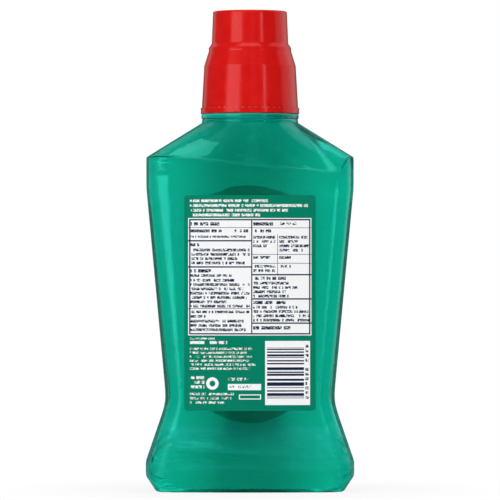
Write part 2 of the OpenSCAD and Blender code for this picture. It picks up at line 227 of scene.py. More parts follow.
def start_from(name, kind, **sizes):
    """Adds a primitive and opens it for modelling."""
    getattr(bpy.ops.mesh, "primitive_" + kind + "_add")(**sizes)
    piece = bpy.context.object
    piece.name = name
    piece.data.name = name
    return open_up(piece)


def pick(kind, wanted):
    """Selects the verts, edges or faces whose corners, in millimetres, are all wanted."""
    mesh = bpy.context.edit_object.data
    bpy.ops.mesh.select_mode(type={"verts": "VERT", "edges": "EDGE", "faces": "FACE"}[kind])
    bpy.ops.mesh.select_all(action="DESELECT")
    shape = bmesh.from_edit_mesh(mesh)
    for part in getattr(shape, kind):
        corners = [part] if kind == "verts" else part.verts
        places = [v.co / MM for v in corners]
        if wanted(*places) if kind == "edges" else all(wanted(place) for place in places):
            part.select_set(True)
    shape.select_flush_mode()
    bmesh.update_edit_mesh(mesh)


def pick_rim():
    """Selects the open rim of the shape."""
    bpy.ops.mesh.select_mode(type="EDGE")
    bpy.ops.mesh.select_all(action="DESELECT")
    bpy.ops.mesh.select_non_manifold(use_wire=False, use_multi_face=False, use_non_contiguous=False,
                                     use_verts=False)


def picked_radius():
    shape = bmesh.from_edit_mesh(bpy.context.edit_object.data)
    radii = [v.co.xy.length / MM for v in shape.verts if v.select]
    return sum(radii) / len(radii)


def stretch(x=1, y=1, z=1, about_z=0):
    bpy.ops.transform.resize(value=(x, y, z), center_override=(0, 0, about_z * MM))


def shift(x=0, y=0, z=0):
    bpy.ops.transform.translate(value=(x * MM, y * MM, z * MM))


def cut(place, direction, keep_behind=False):
    """Cuts the whole shape in the plane through a place, and can drop what lies beyond it."""
    bpy.ops.mesh.select_all(action="SELECT")
    bpy.ops.mesh.bisect(plane_co=[p * MM for p in place], plane_no=direction, clear_outer=keep_behind)


def level_rim(radius, z):
    """Makes the picked ring a flat circle of that radius at that height."""
    stretch(z=0, about_z=z)
    bpy.ops.transform.tosphere(value=1, center_override=(0, 0, z * MM))
    grown = radius / picked_radius()
    stretch(grown, grown)


def raise_wall(profile):
    """Extrudes the picked round rim through rings of radius and height."""
    for radius, z in profile:
        bpy.ops.mesh.extrude_edges_move()
        stretch(z=0, about_z=z)
        grown = radius / picked_radius()
        stretch(grown, grown)


def apply_all(piece):
    bpy.context.view_layer.objects.active = piece
    for modifier in list(piece.modifiers):
        bpy.ops.object.modifier_apply(modifier=modifier.name)


def smooth(piece, degrees):
    bpy.ops.object.select_all(action="DESELECT")
    piece.select_set(True)
    bpy.context.view_layer.objects.active = piece
    bpy.ops.object.shade_smooth_by_angle(angle=math.radians(degrees))


def copied(piece, name):
    other = piece.copy()
    other.data = piece.data.copy()
    other.name = name
    other.data.name = name
    bpy.context.collection.objects.link(other)
    return other


def joined(piece, *others):
    bpy.ops.object.select_all(action="DESELECT")
    for part in (piece,) + others:
        part.select_set(True)
    bpy.context.view_layer.objects.active = piece
    bpy.ops.object.join()
    return piece


# The body's skin
def block(corner_x, corner_y):
    """A block with rounded upright corners, cut into columns that bow outwards."""
    stretch(2 * corner_x * MM, 2 * corner_y * MM, SHOULDER_Z * MM)
    shift(z=SHOULDER_Z / 2)
    pick("edges", lambda a, b: near(a.x, b.x) and near(a.y, b.y))
    bpy.ops.mesh.bevel(offset=CORNER_R * MM, segments=CORNER_STEPS, profile=0.5, affect="EDGES")
    for x in [-x for x in FACE_COLUMNS] + [0] + FACE_COLUMNS:
        cut((x, 0, 0), (1, 0, 0))
    for y in [-y for y in SIDE_ROWS] + [0] + SIDE_ROWS:
        cut((0, y, 0), (0, 1, 0))
    shape = bmesh.from_edit_mesh(bpy.context.edit_object.data)
    columns = sorted({round(abs(v.co.x) / MM, 2) for v in shape.verts})
    rows = sorted({round(abs(v.co.y) / MM, 2) for v in shape.verts if abs(v.co.x) / MM > corner_x - CORNER_R})
    for y in rows:
        pick("verts", lambda v: near(abs(v.y), y) and abs(v.x) > corner_x - CORNER_R)
        stretch(x=(BASE_W / 2 - SIDE_BOW * (y / corner_y) ** 2) / corner_x)
    for x in columns:
        pick("verts", lambda v: near(abs(v.x), x, 0.05))
        stretch(y=(BASE_D / 2 - face_drop(x)) / corner_y)


def ring_to(z, half_w, half_d):
    """Moves one ring of the block in to that half width and half depth, with the same bend in its faces."""
    corner_x, spare_x = BASE_W / 2 - SIDE_BOW, FACE_COLUMNS[-1]
    inward = half_w - BASE_W / 2
    for way in (1, -1):
        pick("verts", lambda v: near(v.z, z) and way * v.x > spare_x + 0.5)
        shift(x=way * inward)
        pick("verts", lambda v: near(v.z, z) and near(way * v.x, spare_x))
        shift(x=way * inward / 2)
    for x in [0] + FACE_COLUMNS[:-1]:
        pick("verts", lambda v: near(v.z, z) and near(abs(v.x), x, 0.05))
        stretch(y=(half_d - face_drop(x)) / (BASE_D / 2 - face_drop(x)))
    pick("verts", lambda v: near(v.z, z) and near(abs(v.x), spare_x + inward / 2, 0.05))
    stretch(y=(half_d - face_drop(spare_x + inward / 2)) / (BASE_D / 2 - face_drop(spare_x)))
    pick("verts", lambda v: near(v.z, z) and abs(v.x) > spare_x + inward / 2 + 0.2)
    stretch(y=(half_d - face_drop(corner_x + inward)) / (BASE_D / 2 - face_drop(corner_x)))


def slant(ring, corner_x):
    """Slants one ring of the body over its faces, fading out round the corners."""
    side_z, mid_z, fall, _ = ring
    shape = bmesh.from_edit_mesh(bpy.context.edit_object.data)
    ring_verts = [v.co / MM for v in shape.verts if near(v.co.z / MM, side_z)]
    half = max(v.x for v in ring_verts)
    spots = sorted({(round(v.x, 2), round(abs(v.y), 2)) for v in ring_verts})
    for x, y in spots:
        share = min(1, max(0, (half - SIDE_BOW - abs(x)) / CORNER_R))
        if share > 0:
            pick("verts", lambda v: near(v.z, side_z) and near(v.x, x, 0.011) and near(abs(v.y), y, 0.011))
            shift(z=share * (mid_z - side_z - fall * x / (LABEL_W / 2)))


def body_skin(name, inset):
    """The skin of the body from the hollow foot to the neck, taken inwards by inset."""
    corner_x = BASE_W / 2 - SIDE_BOW
    piece = start_from(name, "cube", size=1)
    block(corner_x, BASE_D / 2 - face_drop(corner_x))
    for ring in RINGS[1:-1]:
        cut((0, 0, ring[0]), (0, 0, 1))
    for side_z, mid_z, _, sharp in RINGS:
        if sharp:
            pick("edges", lambda a, b: near(a.z, side_z) and near(b.z, side_z))
            bpy.ops.transform.edge_crease(value=sharp)
        ring_to(side_z, eased(side_z, SIDE_TABLE) - inset, eased(mid_z, FACE_TABLE) - inset)
    # The hollow foot
    pick("faces", lambda v: near(v.z, 0))
    shift(z=inset)
    for share, rise in FOOT_STEPS:
        bpy.ops.mesh.inset(thickness=0.01 * MM)
        stretch(share, share)
        shift(z=rise)
    # The shoulder runs from the slanting crease to the neck
    pick("faces", lambda v: near(v.z, SHOULDER_Z))
    bpy.ops.mesh.delete(type="FACE")
    for ring in RINGS:
        if ring[2]:
            slant(ring, corner_x)
    drop = inset * math.tan(math.atan2(BODY_W / 2 - SHOULDER_R, NECK_Z - SHOULDER_Z) / 2)
    pick_rim()
    shift(z=-drop)
    bpy.ops.mesh.extrude_edges_move()
    level_rim(SHOULDER_R - inset, NECK_Z - drop)
    pick("edges", lambda a, b: near(max(a.z, b.z), NECK_Z - drop) and not near(a.z, b.z))
    bpy.ops.mesh.subdivide(number_cuts=SHOULDER_CUTS)
    close_up()
    rounding = piece.modifiers.new("rounding", "SUBSURF")
    rounding.levels = rounding.render_levels = 2
    apply_all(piece)
    open_up(piece)
    pick_rim()
    level_rim(SHOULDER_R - inset, NECK_Z - drop)
    close_up()
    return piece


def close_shape():
    """Points all faces of a closed shape outwards."""
    bpy.ops.mesh.select_all(action="SELECT")
    bpy.ops.mesh.normals_make_consistent(inside=False)


def turned_ring(name, section, closed=True):
    """A solid turned from a section of radius and height, either a closed ring or filled at both ends."""
    piece = start_from(name, "circle", vertices=TURN_STEPS, radius=section[0][0] * MM, fill_type="NOTHING")
    bpy.ops.mesh.select_all(action="SELECT")
    shift(z=section[0][1])
    raise_wall(section[1:])
    pick_rim()
    if closed:
        bpy.ops.mesh.bridge_edge_loops()
    else:
        bpy.ops.mesh.fill_holes(sides=0)
    close_shape()
    close_up()
    return piece


def thread(name, wall_r, crest_r, foot_z):
    """Helical beads on a round wall, thinning out at their ends."""
    root_r = wall_r + math.copysign(THREAD_SUNK, wall_r - crest_r)
    low_r, high_r = sorted((root_r, crest_r))
    piece = start_from(name, "plane", size=1)
    bpy.ops.transform.rotate(value=math.pi / 2, orient_axis="X", center_override=(0, 0, 0))
    stretch((high_r - low_r) * MM, 1, THREAD_ROOT * MM)
    shift(x=(low_r + high_r) / 2, z=foot_z)
    pick("verts", lambda v: near(v.x, crest_r))
    stretch(z=THREAD_CREST / THREAD_ROOT, about_z=foot_z)
    close_up()
    helix = piece.modifiers.new("helix", "SCREW")
    helix.angle = 2 * math.pi * THREAD_TURNS
    helix.screw_offset = LEAD * THREAD_TURNS * MM
    helix.steps = helix.render_steps = THREAD_STEPS
    helix.use_smooth_shade = False
    apply_all(piece)
    open_up(piece)
    for step in range(THREAD_FADE):
        share = mix((wall_r + root_r) / 2 / crest_r, 1, step / THREAD_FADE)
        for at in (step, THREAD_STEPS - step):
            turn = 360 * THREAD_TURNS * at / THREAD_STEPS
            pick("verts", lambda v: near(v.xy.length, crest_r)
                 and near(math.degrees(math.atan2(v.y, v.x)), turn, 1))
            stretch(share, share)
    pick_rim()
    bpy.ops.mesh.fill_holes(sides=4)
    bpy.ops.mesh.select_all(action="SELECT")
    apart = 2 * math.pi / THREAD_STARTS
    for _ in range(1, THREAD_STARTS):
        bpy.ops.mesh.duplicate()
        bpy.ops.transform.rotate(value=apart, orient_axis="Z", center_override=(0, 0, 0))
    close_shape()
    close_up()
    return piece


def body_film(name, skin, side, half, rise, dip, fields=()):
    """A film cut from the body's own skin, with its printed fields, lifted clear and given its thickness."""
    piece = open_up(copied(skin, name))
    cut((0, 0, 0), (0, -side, 0), True)
    for right in (1, -1):
        cut((right * half, 0, 0), (right, 0, 0), True)
        for turn in (22.5, 45, 67.5):
            across, along = math.sin(math.radians(turn)), math.cos(math.radians(turn))
            bend = right * (half - LABEL_ROUND + LABEL_ROUND * across)
            drop = LABEL_ROUND * (1 - along)
            cut((bend, 0, LABEL_TOP - drop), (right * across, 0, along), True)
            cut((bend, 0, LABEL_Z + drop), (right * across, 0, -along), True)
    for step in range(-5, 6) if rise else [0]:
        x = half * step / 6
        fall = (x / half) ** 2
        cut((x, 0, LABEL_TOP + rise - ARCH_RISE * fall), (2 * ARCH_RISE * x / half ** 2, 0, 1), True)
        cut((x, 0, LABEL_Z - dip + ARCH_DIP * fall), (2 * ARCH_DIP * x / half ** 2, 0, -1), True)
    for _ in range(len(fields) + 2):
        piece.data.materials.append(None)
    for index, (left, right, low, high) in enumerate(fields, 1):
        for x in (left, right):
            cut((x, 0, 0), (1, 0, 0))
        for z in (low, high):
            cut((0, 0, z), (0, 0, 1))
        pick("faces", lambda v: left - 0.01 < v.x < right + 0.01 and low - 0.01 < v.z < high + 0.01)
        piece.active_material_index = index
        bpy.ops.object.material_slot_assign()
    bpy.ops.mesh.select_all(action="SELECT")
    bpy.ops.transform.shrink_fatten(value=FILM_GAP * MM)
    close_up()
    body = piece.modifiers.new("thickness", "SOLIDIFY")
    body.thickness = FILM_T * MM
    body.offset = 1
    body.material_offset = len(fields) + 1
    apply_all(piece)
    return piece


# The bottle: outer skin, neck with its collar and thread, inner skin
bottle = body_skin("bottle_body", 0)
back_label = body_film("back_label_film", bottle, -1, LABEL_W / 2, 0, 0, [
    (TABLE_L, MIDDLE, TABLE_Z, TABLE_TOP), (MIDDLE, TABLE_R, TABLE_Z, TABLE_TOP)])
front_label = body_film("front_label_film", bottle, 1, FRONT_W / 2, FRONT_RISE, FRONT_DIP)
open_up(bottle)
pick_rim()
raise_wall([
    (COLLAR_R - 0.03, NECK_Z + 0.05), (COLLAR_R, NECK_Z + 0.2), (COLLAR_R, NECK_Z + 0.9),
    (COLLAR_R - 0.1, NECK_Z + 1.1), (GROOVE_R, NECK_Z + 1.35), (GROOVE_R, NECK_Z + 1.6),
    (COLLAR_BEAD_R - 0.12, NECK_Z + 2.05), (COLLAR_BEAD_R, NECK_Z + 2.4), (COLLAR_BEAD_R, COLLAR_Z - 0.8),
    (COLLAR_BEAD_R - 0.15, COLLAR_Z - 0.3), (COLLAR_BEAD_R - 0.6, COLLAR_Z - 0.05),
    (COLLAR_BEAD_R - 1, COLLAR_Z), (NECK_R + 0.6, COLLAR_Z), (NECK_R + 0.15, COLLAR_Z + 0.2),
    (NECK_R, COLLAR_Z + 0.7), (NECK_R, LIP_Z - 0.7), (NECK_R - 0.12, LIP_Z - 0.25), (NECK_R - 0.5, LIP_Z),
    (BORE_R + 0.4, LIP_Z), (BORE_R + 0.08, LIP_Z - 0.12), (BORE_R, LIP_Z - 0.4),
    (BORE_R, SHELF_Z + 0.3), (BORE_R + 0.2, SHELF_Z - 0.4), (BORE_R + 0.8, SHELF_Z - 0.8),
    (COLLAR_IN_R - 0.8, SHELF_Z - 0.8), (COLLAR_IN_R - 0.2, SHELF_Z - 1), (COLLAR_IN_R, SHELF_Z - 1.6),
    (COLLAR_IN_R, NECK_Z + 0.1)])
close_up()
inner = body_skin("bottle_inside", WALL)
bottle = joined(bottle, inner)
open_up(bottle)
pick_rim()
bpy.ops.mesh.bridge_edge_loops()
close_shape()
close_up()
neck_thread = thread("neck_thread", NECK_R, NECK_R + THREAD_OUT, COLLAR_Z + THREAD_LIFT)
bottle = joined(bottle, neck_thread)

# The filling, up into the neck, with its skin of liquid raised at the wall
mouthwash = body_skin("mouthwash_fill", WALL - FILL_LAP)
open_up(mouthwash)
pick_rim()
raise_wall([
    (COLLAR_IN_R + FILL_LAP, NECK_Z + 0.1), (COLLAR_IN_R + FILL_LAP, SHELF_Z - 1.75),
    (COLLAR_IN_R - 0.5, SHELF_Z - 1.65), (BORE_R + 0.6, SHELF_Z - 1.65), (BORE_R + 0.1, SHELF_Z - 1.5),
    (BORE_R + FILL_LAP, SHELF_Z - 1), (BORE_R + FILL_LAP, FILL_TOP), (BORE_R - 0.5, FILL_TOP - 0.25),
    (BORE_R - 1.5, FILL_TOP - 0.4), (0.6, FILL_TOP - 0.4)])
pick_rim()
bpy.ops.mesh.fill_holes(sides=0)
close_shape()
close_up()

# The dosing cap with its skirt, ledge and cup, and the thread inside
cap = turned_ring("dosing_cap", [
    (0.6, CAP_TOP), (CUP_TOP_R - 1.0, CAP_TOP), (CUP_TOP_R - 0.5, CAP_TOP - 0.12),
    (CUP_TOP_R - 0.12, CAP_TOP - 0.5), (CUP_TOP_R, CAP_TOP - 1.0), (CUP_TOP_R + 0.03, CAP_TOP - 1.6),
    (CUP_FOOT_R - 0.03, CUP_Z + 0.9), (CUP_FOOT_R, CUP_Z + 0.3), (CUP_FOOT_R + 0.15, CUP_Z),
    (LEDGE_R - 0.15, RING_Z + LEDGE_H), (LEDGE_R, RING_Z + LEDGE_H - 0.2), (LEDGE_R, RING_Z + 0.2),
    (LEDGE_R + 0.12, RING_Z - 0.1), (SKIRT_TOP_R - 0.08, CONE_Z + 0.2), (SKIRT_TOP_R, CONE_Z - 0.2),
    (SKIRT_TOP_R + 0.04, CONE_Z - 0.9), (SKIRT_FOOT_R, CAP_FOOT_Z + 2), (SKIRT_FOOT_R, CAP_FOOT_Z + 0.4),
    (SKIRT_FOOT_R - 0.2, CAP_FOOT_Z + 0.1), (SKIRT_FOOT_R - 0.6, CAP_FOOT_Z), (SKIRT_IN_R + 0.9, CAP_FOOT_Z),
    (SKIRT_IN_R + 0.5, CAP_FOOT_Z + 0.2), (SKIRT_IN_R, CAP_FOOT_Z + 1.4), (SKIRT_IN_R, SEAT_Z - 0.3),
    (SKIRT_IN_R - 0.3, SEAT_Z), (CUP_IN_R + 0.3, SEAT_Z), (CUP_IN_R, SEAT_Z + 0.3),
    (CUP_IN_R, DOSE_Z - DOSE_LINE), (CUP_IN_R - DOSE_LINE, DOSE_Z), (CUP_IN_R, DOSE_Z + DOSE_LINE),
    (CUP_FLOOR_R, CUP_FLOOR_Z - 1.2), (CUP_FLOOR_R - 0.3, CUP_FLOOR_Z - 0.4),
    (CUP_FLOOR_R - 1.2, CUP_FLOOR_Z), (0.6, CUP_FLOOR_Z)], closed=False)
cap_thread = thread("cap_thread", SKIRT_IN_R, CAP_THREAD_R, COLLAR_Z + THREAD_LIFT + LEAD / THREAD_STARTS / 2)
cap = joined(cap, cap_thread)

# The foam liner
liner = turned_ring("foam_liner", [
    (LINER_R - 0.25, LINER_Z), (LINER_R, LINER_Z + 0.25), (LINER_R, LINER_Z + LINER_T - 0.25),
    (LINER_R - 0.25, LINER_Z + LINER_T), (LINER_IN_R + 0.25, LINER_Z + LINER_T),
    (LINER_IN_R, LINER_Z + LINER_T - 0.25), (LINER_IN_R, LINER_Z + 0.25),
    (LINER_IN_R + 0.25, LINER_Z)])

# The shrink band in its two strips
OUT_LINE = [
    (SLEEVE_FOOT_R, SLEEVE_Z), (SLEEVE_FOOT_R, SLEEVE_Z + 0.35), (SLEEVE_FOOT_R - 0.03, SLEEVE_Z + 0.9),
    (SLEEVE_TOP_R + 0.04, SLEEVE_CONE_Z - 0.95), (SLEEVE_TOP_R, SLEEVE_CONE_Z - 0.25),
    (SLEEVE_TOP_R - 0.1, SLEEVE_CONE_Z + 0.2), (SLEEVE_LEDGE_R + 0.12, SLEEVE_RING_Z - 0.25),
    (SLEEVE_LEDGE_R, SLEEVE_RING_Z + 0.15), (SLEEVE_LEDGE_R, SLEEVE_RING_Z + LEDGE_H - 0.3),
    (SLEEVE_LEDGE_R - 0.2, SLEEVE_RING_Z + LEDGE_H),
    (SLEEVE_CUP_R + 0.2, SLEEVE_CUP_Z - 0.1), (SLEEVE_CUP_R - 0.02, SLEEVE_CUP_Z + 0.35),
    (SLEEVE_CUP_R - 0.05, SLEEVE_CUP_Z + 1.0), (SLEEVE_RIM_R + 0.03, BAND_TOP - 1.7),
    (SLEEVE_RIM_R, BAND_TOP - 1.0), (SLEEVE_RIM_R - 0.12, BAND_TOP - 0.55),
    (SLEEVE_RIM_R - 0.45, BAND_TOP - 0.15), (SLEEVE_RIM_R - 1.0, BAND_TOP),
    (SLEEVE_RIM_R - BAND_LAP, BAND_TOP)]
IN_LINE = [(r - BAND_T * (z < BAND_TOP), z - BAND_T * (z > BAND_TOP - 0.6)) for r, z in reversed(OUT_LINE)]
sleeve = turned_ring("shrink_sleeve", OUT_LINE + IN_LINE)
ring = turned_ring("torn_off_ring", [
    (STRIP_R - STRIP_TUCK, STRIP_Z), (STRIP_R - 0.35, STRIP_Z), (STRIP_R - 0.1, STRIP_Z + 0.1),
    (STRIP_R, STRIP_Z + 0.35), (STRIP_R - 0.1, STRIP_Z + 1.4), (STRIP_R, STRIP_Z + STRIP_H),
    (STRIP_R - BAND_T, STRIP_Z + STRIP_H), (STRIP_R - BAND_T - 0.1, STRIP_Z + 1.4),
    (STRIP_R - BAND_T - 0.03, STRIP_Z + 0.5), (STRIP_R - BAND_T - 0.2, STRIP_Z + BAND_T),
    (STRIP_R - STRIP_TUCK, STRIP_Z + BAND_T)])

# Nibs of film left along the tear
open_up(ring)
tear_z = STRIP_Z + STRIP_H
pick("faces", lambda v: near(v.z, tear_z))
shape = bmesh.from_edit_mesh(ring.data)
for face in shape.faces:
    middle = face.calc_center_median()
    step = int(math.degrees(math.atan2(middle.y, middle.x)) % 360 / 360 * TURN_STEPS)
    if step % NIB_EVERY >= NIB_WIDTH:
        face.select_set(False)
shape.select_flush_mode()
bmesh.update_edit_mesh(ring.data)
bpy.ops.mesh.extrude_region_move()
shift(z=NIB_H)
close_up()

# What each piece rides on and stands for, its slot, and from what angle its edges stay crisp
for piece, body, node, slot, crisp in [
        (bottle, "bottle", "bottle", "clear_plastic", 40),
        (mouthwash, "bottle", "mouthwash", "liquid", 40),
        (back_label, "bottle", "back_label", "label_film", 40),
        (front_label, "bottle", "front_label", "label_film", 40),
        (ring, "bottle", "tamper_ring", "band_film", 50),
        (liner, "liner", "cap_liner", "liner_foam", 50),
        (cap, "cap", "cap", "cap_plastic", 50),
        (sleeve, "cap", "cap_sleeve", "band_film", 50)]:
    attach(piece, body)
    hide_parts(node)
    smooth(piece, crisp)


# Material helpers
def new_material(name):
    material = bpy.data.materials.new(name)
    material.use_nodes = True
    return material.node_tree, material.node_tree.nodes["Principled BSDF"]


def feed(tree, value, socket):
    """Links a socket, or writes a plain value."""
    if isinstance(value, bpy.types.NodeSocket):
        tree.links.new(value, socket)
    else:
        socket.default_value = value


def calc(tree, operation, *values):
    new = tree.nodes.new("ShaderNodeMath")
    new.operation = operation
    for value, socket in zip(values, new.inputs):
        feed(tree, value, socket)
    return new.outputs[0]


def ease(tree, value, low, high, out_low=0.0, out_high=1.0):
    """Smooth step of a value between two limits."""
    new = tree.nodes.new("ShaderNodeMapRange")
    new.interpolation_type = "SMOOTHSTEP"
    for number, socket in zip((value, low, high, out_low, out_high), new.inputs):
        feed(tree, number, socket)
    return new.outputs[0]


def tint(tree, share, a, b):
    """Colour between two colours."""
    new = tree.nodes.new("ShaderNodeMix")
    new.data_type = "RGBA"
    for value, name in ((share, "Factor_Float"), (a, "A_Color"), (b, "B_Color")):
        feed(tree, value, next(i for i in new.inputs if i.identifier == name))
    return next(o for o in new.outputs if o.identifier == "Result_Color")


def place_mm(tree):
    """Object coordinates in millimetres, as x, y, z and the vector."""
    place = tree.nodes.new("ShaderNodeTexCoord")
    scaled = tree.nodes.new("ShaderNodeVectorMath")
    scaled.operation = "SCALE"
    scaled.inputs["Scale"].default_value = 1 / MM
    parts = tree.nodes.new("ShaderNodeSeparateXYZ")
    tree.links.new(place.outputs["Object"], scaled.inputs[0])
    tree.links.new(scaled.outputs[0], parts.inputs[0])
    return parts.outputs[0], parts.outputs[1], parts.outputs[2], scaled.outputs[0]


def clear(name, ior, roughness, density, passes):
    """A clear tinted solid that absorbs light along its way through it."""
    tree, shader = new_material(name)
    shader.inputs["Transmission Weight"].default_value = 1
    shader.inputs["IOR"].default_value = ior
    shader.inputs["Roughness"].default_value = roughness
    shader.inputs["Specular Tint"].default_value = CLEAR_SHINE
    volume = tree.nodes.new("ShaderNodeVolumeAbsorption")
    volume.inputs["Color"].default_value = passes
    volume.inputs["Density"].default_value = density
    tree.links.new(volume.outputs[0], tree.nodes["Material Output"].inputs["Volume"])
    return tree, shader


def plain(name, color, roughness):
    tree, shader = new_material(name)
    shader.inputs["Base Color"].default_value = color
    shader.inputs["Roughness"].default_value = roughness
    return tree, shader


def coat(piece, *names):
    """Gives a piece its materials, into the slots that its faces already use."""
    while len(piece.data.materials) < len(names):
        piece.data.materials.append(None)
    for index, name in enumerate(names):
        piece.data.materials[index] = bpy.data.materials[name]


def new_group(name, inputs, outputs):
    """A node group of numbers, and a vector for a place; returns its tree, its inputs and its outputs."""
    group = bpy.data.node_groups.new(name, "ShaderNodeTree")
    for title in inputs:
        kind = "NodeSocketVector" if title == "Place" else "NodeSocketFloat"
        group.interface.new_socket(title, in_out="INPUT", socket_type=kind)
    for title in outputs:
        group.interface.new_socket(title, in_out="OUTPUT", socket_type="NodeSocketFloat")
    entry = group.nodes.new("NodeGroupInput")
    return group, entry.outputs, group.nodes.new("NodeGroupOutput").inputs


def placed(tree, name, **values):
    """Places a node group with its values and returns its first output."""
    new = tree.nodes.new("ShaderNodeGroup")
    new.node_tree = bpy.data.node_groups[name]
    for title, value in values.items():
        feed(tree, value, new.inputs[title])
    return new.outputs[0]


def vector(tree, x, y, z):
    new = tree.nodes.new("ShaderNodeCombineXYZ")
    for value, socket in zip((x, y, z), new.inputs):
        feed(tree, value, socket)
    return new.outputs[0]


def chance(tree, value):
    """A random number for each value."""
    new = tree.nodes.new("ShaderNodeTexWhiteNoise")
    new.noise_dimensions = "1D"
    feed(tree, value, new.inputs["W"])
    return new.outputs["Value"]


def noise(tree, at, scale, detail=2.0, rough=0.5):
    new = tree.nodes.new("ShaderNodeTexNoise")
    feed(tree, at, new.inputs["Vector"])
    new.inputs["Scale"].default_value = scale
    new.inputs["Detail"].default_value = detail
    new.inputs["Roughness"].default_value = rough
    return new.outputs[0]


def within(tree, value, low, high):
    """1 between two limits."""
    over, under = calc(tree, "GREATER_THAN", value, low), calc(tree, "LESS_THAN", value, high)
    return calc(tree, "MULTIPLY", over, under)


def bump(tree, shader, height, depth, distance=0.001):
    new = tree.nodes.new("ShaderNodeBump")
    new.inputs["Strength"].default_value = depth
    new.inputs["Distance"].default_value = distance
    feed(tree, height, new.inputs["Height"])
    tree.links.new(new.outputs[0], shader.inputs["Normal"])


def all_of(tree, *masks):
    last = masks[0]
    for mask in masks[1:]:
        last = calc(tree, "MULTIPLY", last, mask)
    return last


def any_of(tree, first, rest):
    """The strongest of many masks, joined one by one as they are made."""
    for mask in rest:
        first = calc(tree, "MAXIMUM", first, mask)
    return first


# Uneven surface: soft ripples with finer ones on them, by place in millimetres and size of the ripples
group, given, result = new_group("uneven surface", ["Place", "Size", "Fine"], ["Height"])
spread = group.nodes.new("ShaderNodeVectorMath")
spread.operation = "DIVIDE"
feed(group, given["Place"], spread.inputs[0])
feed(group, given["Size"], spread.inputs[1])
coarse, fine = noise(group, spread.outputs[0], 1, 2), noise(group, spread.outputs[0], 6, 3)
feed(group, calc(group, "MULTIPLY_ADD", fine, given["Fine"], coarse), result["Height"])

# Printed box: 1 inside a rectangle
group, given, result = new_group("printed box", ["X", "Z", "Left", "Right", "Low", "High"], ["Ink"])
feed(group, all_of(group, within(group, given["X"], given["Left"], given["Right"]),
                   within(group, given["Z"], given["Low"], given["High"])), result["Ink"])

# Printed lines: rows of small unreadable strokes with word gaps and ragged ends
group, given, result = new_group("printed lines", ["X", "Z", "Grain", "Left", "Right", "Top", "Pitch", "Rows",
                                                   "Height", "Heaviness", "Seed"], ["Ink"])
down = calc(group, "DIVIDE", calc(group, "SUBTRACT", given["Top"], given["Z"]), given["Pitch"])
row = calc(group, "FLOOR", down)
in_row = calc(group, "LESS_THAN", calc(group, "MULTIPLY", calc(group, "SUBTRACT", down, row), given["Pitch"]),
              given["Height"])
rows = within(group, row, -0.5, calc(group, "SUBTRACT", given["Rows"], 0.5))
ragged = calc(group, "POWER", chance(group, calc(group, "MULTIPLY_ADD", row, 7.3, given["Seed"])), 3)
short = calc(group, "MULTIPLY", calc(group, "MULTIPLY", ragged, 0.4),
             calc(group, "SUBTRACT", given["Right"], given["Left"]))
end = calc(group, "SUBTRACT", given["Right"], short)
cell = calc(group, "FLOOR", calc(group, "DIVIDE", calc(group, "SUBTRACT", given["X"], given["Left"]),
                                 calc(group, "MULTIPLY", given["Height"], 0.62)))
letter = calc(group, "MULTIPLY_ADD", row, 31.7, calc(group, "MULTIPLY_ADD", cell, 1.37, given["Seed"]))
filled = calc(group, "GREATER_THAN", chance(group, letter), 0.17)
stroke = calc(group, "LESS_THAN", given["Grain"], given["Heaviness"])
feed(group, all_of(group, rows, in_row, within(group, given["X"], given["Left"], end), filled, stroke),
     result["Ink"])

# Tinted clear plastic of the bottle, with painted shade darkening it over mid width and more in a patch below
# the labels, and a painted highlight glowing in its collar
tree, shader = clear("tinted_pet", PET_IOR, 0.02, PET_DENSITY, PET_PASSES)
x, y, z = place_mm(tree)[:3]
from_middle = calc(tree, "ABSOLUTE", x)
# Painted shade: darker over mid width, most of all in a patch low on the body below the labels
low = all_of(tree, ease(tree, calc(tree, "ABSOLUTE", calc(tree, "SUBTRACT", x, 2)), 22, 9),
             ease(tree, z, 20, 30), ease(tree, z, 52, 42))
painted_shade = tint(tree, low, MID_PAINTED_SHADE, LOW_PAINTED_SHADE)
feed(tree, tint(tree, ease(tree, from_middle, 42, 6), WHITE, painted_shade), shader.inputs["Base Color"])
# Painted highlight: the collar glows on its left, though it is no lamp
collar_highlight = all_of(tree, ease(tree, z, COLLAR_Z - 2.7, COLLAR_Z - 2.1),
                ease(tree, z, COLLAR_Z + 0.1, COLLAR_Z - 0.5), ease(tree, x, 40, -20))
feed(tree, tint(tree, collar_highlight, BLACK, COLLAR_PAINTED_HIGHLIGHT), shader.inputs["Emission Color"])
shader.inputs["Emission Strength"].default_value = 1
waves = noise(tree, vector(tree, calc(tree, "MULTIPLY", x, 0.5), y, z), 0.09, 3)
drawn_out = vector(tree, calc(tree, "MULTIPLY", x, 0.25), y, calc(tree, "MULTIPLY", z, 1.3))
streaks = noise(tree, drawn_out, 0.22, 4)
thick = all_of(tree, ease(tree, z, 34, 24), ease(tree, from_middle, 34, 46))
rough = calc(tree, "MULTIPLY_ADD", calc(tree, "MULTIPLY", thick, THICK_WAVES), streaks, waves)
for crease_z, fall in [(BASE_CREASE_Z, BASE_CREASE_FALL), (SASH_Z, SASH_FALL), (CREASE_Z, CREASE_FALL)]:
    off = calc(tree, "MULTIPLY_ADD", x, fall / (LABEL_W / 2), calc(tree, "SUBTRACT", z, crease_z))
    rough = calc(tree, "ADD", rough, ease(tree, calc(tree, "ABSOLUTE", off), CREASE_R, 0, 0, CREASE_LIFT))
bump(tree, shader, rough, PET_WAVES)

# The mouthwash
clear("mouthwash_liquid", LIQUID_IOR, 0, LIQUID_DENSITY, LIQUID_PASSES)

# Films, cap and liner
def print_place(tree):
    """What a print is laid out on: place in millimetres, and the fine grain that small type is made of."""
    x, y, z, place = place_mm(tree)
    where = tree.nodes.new("ShaderNodeTexCoord")
    return {"X": x, "Z": z, "Grain": noise(tree, where.outputs["Object"], 1.6 / MM, 1)}, place


